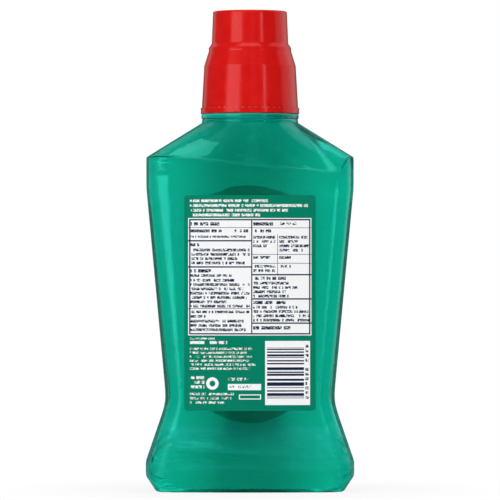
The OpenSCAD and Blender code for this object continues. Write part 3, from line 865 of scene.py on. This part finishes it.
def box(tree, at, left, right, low, high):
    return placed(tree, "printed box", X=at["X"], Z=at["Z"], Left=left, Right=right, Low=low, High=high)


def outline(tree, at, left, right, low, high, width):
    outer = box(tree, at, left, right, low, high)
    inner = box(tree, at, left + width, right - width, low + width, high - width)
    return calc(tree, "SUBTRACT", outer, inner)


def lines(tree, at, left, right, top, rows=1, height=TEXT_H, heavy=0.5, pitch=TEXT_PITCH):
    """Printed rows, each block with its own strokes."""
    return placed(tree, "printed lines", **at, Left=left, Right=right, Top=top, Pitch=pitch, Rows=rows,
                  Height=height, Heaviness=heavy, Seed=left * 3 + top)


def disc(tree, at, at_x, at_z, inner, outer):
    """A printed ring."""
    across, up = calc(tree, "SUBTRACT", at["X"], at_x), calc(tree, "SUBTRACT", at["Z"], at_z)
    reach = calc(tree, "MULTIPLY_ADD", across, across, calc(tree, "MULTIPLY", up, up))
    return within(tree, reach, inner ** 2, outer ** 2)


def bars(tree, at, left, right, low, high):
    """Bars of uneven width, one above the other."""
    row = calc(tree, "FLOOR", calc(tree, "MULTIPLY", at["Z"], BARS_A_MM))
    filled = calc(tree, "GREATER_THAN", chance(tree, row), BAR_GAPS)
    return all_of(tree, box(tree, at, left, right, low, high), filled)


def inked(tree, at, marks):
    """Share of ink from a list of marks, each a maker and its values."""
    return any_of(tree, 0.0, (maker(tree, at, *values) for maker, values in marks))


def print_on(name, white, navy):
    """Back print: white marks on green, and navy marks on both."""
    tree, shader = plain(name, WHITE, 0.32)
    shader.inputs["Specular Tint"].default_value = PRINT_SHINE
    at, place = print_place(tree)
    white_share, navy_share = inked(tree, at, white), inked(tree, at, navy)
    worn = placed(tree, "uneven surface", Place=place, Size=6, Fine=0.3)
    green, paper = tint(tree, worn, *PRINT_GREENS), tint(tree, worn, *PRINT_WHITES)
    ink = tint(tree, navy_share, tint(tree, white_share, green, paper), NAVY)
    feed(tree, ink, shader.inputs["Base Color"])
    bump(tree, shader, placed(tree, "uneven surface", Place=place, Size=9, Fine=0.06), 0.15)


# Back print: a ruled table of small type on white, white lines on green round it, a bar block
TABLE = (box, (TABLE_L, TABLE_R, TABLE_Z, TABLE_TOP))
TABLE_EDGE = (outline, (TABLE_L + 0.5, TABLE_R - 0.5, TABLE_Z + 0.5, TABLE_TOP - 0.5, RULE))
DIVIDER = (box, (MIDDLE - 0.3, MIDDLE + 0.3, TABLE_Z + 0.6, TABLE_TOP - 0.6))
LEFT_L, LEFT_R, RIGHT_L, RIGHT_R = -31, MIDDLE - 1, MIDDLE + 0.7, 31.1
print_on("print_round_table", [
    (box, (7.8, 31.0, 45.3, 78.4)), (box, (-11.4, 5.7, 53, 56.2)), (disc, (-19.4, 56.4, 1.5, 3.2)),
    (outline, (-5.7, 5.7, 48.2, 50.8, 0.5)), (lines, (-29.5, 31, 151.4, 3, 1.4, 0.56, 2.45)),
    (lines, (-29.5, 24, 144.1, 1, 1.4, 0.56)), (lines, (-31, -30, 151.2, 3, 1.0, 0.8, 2.45)),
    (lines, (-31, -17.5, 80.1, 1, 1.0, 0.5)), (lines, (-31, -2, 78.3, 1, 1.5, 0.6)),
    (lines, (-31, 4, 74.9, 6, 1.1, 0.5, 2.05)), (lines, (-30.5, -23.5, 60.2, 3, 1.5, 0.55, 2.4)),
    (lines, (-31, -8.3, 51.6, 3, 1.2, 0.5, 2.2)), (lines, (-11.4, -1, 59.4, 1, 1.5, 0.5))],
    [(bars, (8.8, 27.9, 48.7, 75)), (lines, (-10.5, 4.8, 55.3, 1, 1.2, 0.5)),
     (lines, (28.6, 30.4, 76.4, 12, 1.5, 0.55, 2.4))])
print_on("print_left_column", [TABLE], [TABLE_EDGE, DIVIDER] + [
    (box, (TABLE_L, MIDDLE, low, low + width)) for low, width in
    ((129.7, RULE), (116.2, RULE), (136.7, HAIR), (94.9, HAIR))] + [(lines, block) for block in [
        (LEFT_L, -15, 139.6, 1, 1.7, 0.6), (LEFT_L, -14, 135.9, 1, 1.5, 0.6), (-8, -0.6, 135.9, 1, 1.5, 0.6),
        (LEFT_L, LEFT_R, 132.7, 1, 1.1, 0.56), (LEFT_L, -25, 128.8, 1, 1.5, 0.6),
        (LEFT_L + 0.8, LEFT_R, 126, 4, TEXT_H, 0.56), (LEFT_L, -20, 115.4, 1, 1.7, 0.6),
        (LEFT_L, -8, 112.8, 1, 1.3, 0.58), (LEFT_L, LEFT_R, 110.4, 7, TEXT_H, 0.56),
        (LEFT_L, LEFT_R, 94, 1, 1.3, 0.58), (LEFT_L, -20, 91.7, 1, 1.3, 0.58),
        (LEFT_L, LEFT_R - 2, 89.3, 3, TEXT_H, 0.56)]])
print_on("print_right_column", [TABLE], [TABLE_EDGE, DIVIDER, (box, (14.1, 14.1 + HAIR, 112.8, 133.3))] + [
    (box, (MIDDLE, TABLE_R, low, low + width)) for low, width in
    ((112.2, RULE), (99.7, RULE), (87.2, RULE), (136.6, HAIR), (122.9, HAIR), (118.3, HAIR))] + [
    (lines, block) for block in [
        (RIGHT_L, 14.5, 139.6, 1, 1.7, 0.6), (15.5, 24, 139.5, 1, 1.3, 0.52),
        (RIGHT_L, 11, 135.9, 1, 1.5, 0.6),
        (RIGHT_L, 13.2, 132.6, 3, TEXT_H, 0.56), (15, RIGHT_R, 132.6, 4, TEXT_H, 0.56),
        (RIGHT_L, 13.2, 122.2, 1, TEXT_H, 0.56), (15, 22, 122.2, 1, TEXT_H, 0.56),
        (RIGHT_L, 13.2, 117.6, 2, TEXT_H, 0.56), (15, 21, 117.6, 1, TEXT_H, 0.56),
        (RIGHT_L, 19, 111.5, 1, 1.6, 0.6), (RIGHT_L, 26, 108.9, 4, TEXT_H, 0.56),
        (RIGHT_L, 19, 99, 1, 1.6, 0.6),
        (RIGHT_L, RIGHT_R, 96.5, 4, TEXT_H, 0.56), (RIGHT_L, 29, 86, 1, 1.7, 0.6)]])

# The films' glued side, with a painted glow standing in for the light that comes through them
tree, shader = plain("film_inside", (0.004, 0.3, 0.2, 1), 0.4)
grain = noise(tree, place_mm(tree)[3], 0.2, 3)
feed(tree, tint(tree, grain, *FILM_PAINTED_GLOWS), shader.inputs["Emission Color"])
shader.inputs["Emission Strength"].default_value = 1

# Front print: plain green fields, a bare name plate and a few white lines
tree, shader = plain("front_print", WHITE, 0.3)
at, place = print_place(tree)
at["X"] = calc(tree, "MULTIPLY", at["X"], -1)
ground = tint(tree, ease(tree, at["Z"], 50, 150), *FRONT_GREENS)
ground = tint(tree, box(tree, at, -FRONT_W, FRONT_W, 86.5, 88), ground, STRIPE_RED)
ground = tint(tree, box(tree, at, -FRONT_W, FRONT_W, 119, 121.5), ground, BAND_GREEN)
white = inked(tree, at, [(box, (-FRONT_W, FRONT_W, 90, 114)), (lines, (-22, 22, 82, 1, 2.6, 0.58)),
                         (lines, (-27, 27, 76, 2, 1.6, 0.54, 3)), (lines, (-20, 20, 60, 3, TEXT_H, 0.5))])
feed(tree, tint(tree, white, ground, PLATE_WHITE), shader.inputs["Base Color"])
bump(tree, shader, placed(tree, "uneven surface", Place=place, Size=9, Fine=0.06), 0.15)

# Red shrink film: upright drag lines, slack near its lower edge, and the glued seam at the back
tree, shader = plain("red_film", FILM_REDS[0], 0.12)
shader.inputs["Specular Tint"].default_value = (1, 0.4, 0.4, 1)
x, y, z, place = place_mm(tree)
seam = all_of(tree, calc(tree, "GREATER_THAN", y, 0), within(tree, x, -SEAM_W / 2, SEAM_W / 2))
depth = placed(tree, "uneven surface", Place=place, Size=7, Fine=0.2)
feed(tree, tint(tree, seam, tint(tree, depth, *FILM_REDS), SEAM_RED), shader.inputs["Base Color"])
drag = noise(tree, vector(tree, x, y, calc(tree, "MULTIPLY", z, 0.08)), 0.5, 2)
slack = calc(tree, "MULTIPLY", noise(tree, vector(tree, calc(tree, "MULTIPLY", x, 0.4), y, z), 0.25, 1),
             ease(tree, z, 212, 198))
seam_and_slack = calc(tree, "MULTIPLY_ADD", slack, 1.1, calc(tree, "MULTIPLY", seam, 0.6))
bump(tree, shader, calc(tree, "MULTIPLY_ADD", drag, 0.25, seam_and_slack), 0.12)
feed(tree, ease(tree, depth, 0.2, 0.9, 0.1, 0.2), shader.inputs["Roughness"])

# White moulded plastic of the cap, faintly flow-marked
tree, shader = plain("cap_white", CAP_WHITES[0], 0.35)
cloudy = placed(tree, "uneven surface", Place=place_mm(tree)[3], Size=5, Fine=0.4)
feed(tree, tint(tree, cloudy, *CAP_WHITES), shader.inputs["Base Color"])
feed(tree, ease(tree, cloudy, 0.3, 1.1, 0.28, 0.45), shader.inputs["Roughness"])
bump(tree, shader, cloudy, 0.06)

# Closed-cell foam of the liner
tree, shader = plain("liner_foam", FOAM_WHITES[0], 0.8)
cells = tree.nodes.new("ShaderNodeTexVoronoi")
feed(tree, place_mm(tree)[3], cells.inputs["Vector"])
cells.inputs["Scale"].default_value = 3
feed(tree, tint(tree, cells.outputs["Distance"], *FOAM_WHITES), shader.inputs["Base Color"])
bump(tree, shader, cells.outputs["Distance"], 0.3)

for piece, name in [(bottle, "tinted_pet"), (mouthwash, "mouthwash_liquid"), (ring, "red_film"),
                    (sleeve, "red_film"), (cap, "cap_white"), (liner, "liner_foam")]:
    coat(piece, name)
coat(back_label, "print_round_table", "print_left_column", "print_right_column", "film_inside")
coat(front_label, "front_print", "film_inside")

# Stage, light and camera
scene = bpy.context.scene
scene.view_settings.view_transform = "Standard"

# The nested clear walls pass light on many times
scene.cycles.max_bounces = 32
scene.cycles.transmission_bounces = 32
scene.cycles.glossy_bounces = 12


def seen_share(tree, glossy, diffuse):
    """Share of white that a ray sees: all of it straight or through a clear piece, else what is given."""
    rays = tree.nodes.new("ShaderNodeLightPath")
    open_ray = calc(tree, "MAXIMUM", rays.outputs["Is Camera Ray"], rays.outputs["Is Transmission Ray"])
    mirrored = calc(tree, "MULTIPLY", rays.outputs["Is Glossy Ray"], glossy)
    spread = calc(tree, "MULTIPLY", rays.outputs["Is Diffuse Ray"], diffuse)
    return calc(tree, "MAXIMUM", open_ray, calc(tree, "MAXIMUM", mirrored, spread))


world = bpy.data.worlds.new("studio")
scene.world = world
world.use_nodes = True
tree = world.node_tree
ways = tree.nodes.new("ShaderNodeTexCoord")
parts = tree.nodes.new("ShaderNodeSeparateXYZ")
tree.links.new(ways.outputs["Generated"], parts.inputs[0])
turn = calc(tree, "ARCTAN2", parts.outputs[0], calc(tree, "MULTIPLY", parts.outputs[1], -1))
around = tree.nodes.new("ShaderNodeValToRGB")
feed(tree, calc(tree, "MULTIPLY_ADD", turn, 0.5 / math.pi, 0.5), around.inputs[0])
stops = around.color_ramp.elements
while len(stops) < len(ROUND_WALL):
    stops.new(0.5)
for stop, (degrees, share) in zip(stops, ROUND_WALL):
    stop.position = degrees / 360 + 0.5
    stop.color = (share, share, share, 1)
behind = ease(tree, parts.outputs[1], 0.82, 0.95)
level = tint(tree, behind, around.outputs[0], (BACK_SHARE, BACK_SHARE, BACK_SHARE, 1))
feed(tree, seen_share(tree, level, WORLD_LIGHT), tree.nodes["Background"].inputs["Strength"])
rays = tree.nodes.new("ShaderNodeLightPath")
far = calc(tree, "MULTIPLY", rays.outputs["Is Glossy Ray"], ease(tree, parts.outputs[1], 0.72, 0.92))
feed(tree, tint(tree, far, WHITE, BACK_TINT), tree.nodes["Background"].inputs["Color"])

bpy.ops.mesh.primitive_circle_add(vertices=96, radius=FLOOR_R, fill_type="NGON")
floor = bpy.context.object
floor.name = "floor"
tree, shader = plain("pale_floor", FLOOR_WHITE, 0.6)
rays = tree.nodes.new("ShaderNodeLightPath")
feed(tree, tint(tree, rays.outputs["Is Glossy Ray"], FLOOR_WHITE, FLOOR_TINT), shader.inputs["Base Color"])
glow = tree.nodes.new("ShaderNodeEmission")
reach = tree.nodes.new("ShaderNodeVectorMath")
reach.operation = "LENGTH"
tree.links.new(place_mm(tree)[3], reach.inputs[0])
lit = ease(tree, reach.outputs["Value"], GLOW_NEAR, GLOW_FAR, GLOW_LEAST, 1)
either = tree.nodes.new("ShaderNodeMixShader")
feed(tree, calc(tree, "MULTIPLY", lit, seen_share(tree, 0.0, 0.0)), either.inputs[0])
tree.links.new(shader.outputs[0], either.inputs[1])
tree.links.new(glow.outputs[0], either.inputs[2])
tree.links.new(either.outputs[0], tree.nodes["Material Output"].inputs["Surface"])
coat(floor, "pale_floor")

for name, place, width, height, power in LAMPS:
    bpy.ops.object.light_add(type="AREA", location=place)
    lamp = bpy.context.object
    lamp.name = name
    lamp.data.shape = "RECTANGLE"
    lamp.data.size = width
    lamp.data.size_y = height
    lamp.data.energy = power
    lamp.visible_glossy = name not in UNMIRRORED
    lamp.rotation_euler = (AIM - Vector(place)).to_track_quat("-Z", "Y").to_euler()

bpy.ops.object.camera_add(location=(0, -CAMERA_DISTANCE, CAMERA_HEIGHT), rotation=(math.pi / 2, 0, 0))
camera = bpy.context.object
camera.data.lens = SENSOR * CAMERA_DISTANCE / FRAME_WIDTH
camera.data.clip_end = 50
scene.camera = camera
